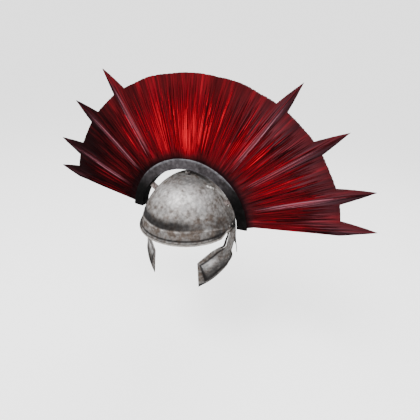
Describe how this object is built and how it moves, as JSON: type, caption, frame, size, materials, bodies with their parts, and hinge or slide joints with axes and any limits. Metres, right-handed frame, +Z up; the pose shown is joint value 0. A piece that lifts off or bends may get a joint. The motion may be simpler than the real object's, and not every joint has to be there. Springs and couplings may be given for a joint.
{
  "type": "roman helmet with sideways crest",
  "caption": "Round steel helmet bowl with flared brow, nape guard and hinged cheek guards; a fan of red horsehair stands across the crown in a dark arched channel on short posts.",
  "frame": {"origin": "middle of the head opening, in the plane of the brow's lower edge", "axes": "+Z up through the crown, the helmet faces -Y, and +X is the wearer's left, along the crest"},
  "size_m": [0.7766, 0.2755, 0.4539],
  "materials": {
    "steel": "worn and hammered, with brown-grey mottling",
    "edging": "brighter rubbed steel",
    "dark_iron": "dark gunmetal with lighter worn edges",
    "post_metal": "dull pinkish grey",
    "horsehair": "deep red dyed hair in fine radial strands"
  },
  "bodies": {
    "helmet": {"bowl": "steel", "brow_binding": "edging", "crest_channel": "dark_iron", "crest_hair": "horsehair", "crest_post_top": "post_metal", "crest_post_left": "post_metal", "crest_post_right": "post_metal", "bowl_hinge_left": "steel", "hinge_pin_left": "edging", "bowl_rivet_left_1": "steel", "bowl_rivet_left_2": "steel", "bowl_hinge_right": "steel", "hinge_pin_right": "edging", "bowl_rivet_right_1": "steel", "bowl_rivet_right_2": "steel"},
    "cheek_left": {"cheek_guard_left": "steel", "cheek_hinge_left": "steel", "cheek_rivet_left_1": "steel", "cheek_rivet_left_2": "steel"},
    "cheek_right": {"cheek_guard_right": "steel", "cheek_hinge_right": "steel", "cheek_rivet_right_1": "steel", "cheek_rivet_right_2": "steel"}
  },
  "joints": [
    {"name": "cheek_left_swing", "type": "hinge", "parent": "helmet", "child": "cheek_left", "pos_m": [0.10261, -0.002, 0.0042], "axis": [-0.0635, -0.998, 0], "range_deg": [-15, 90]},
    {"name": "cheek_right_swing", "type": "hinge", "parent": "helmet", "child": "cheek_right", "pos_m": [-0.10261, -0.002, 0.0042], "axis": [-0.0635, 0.998, 0], "range_deg": [-15, 90]}
  ]
}
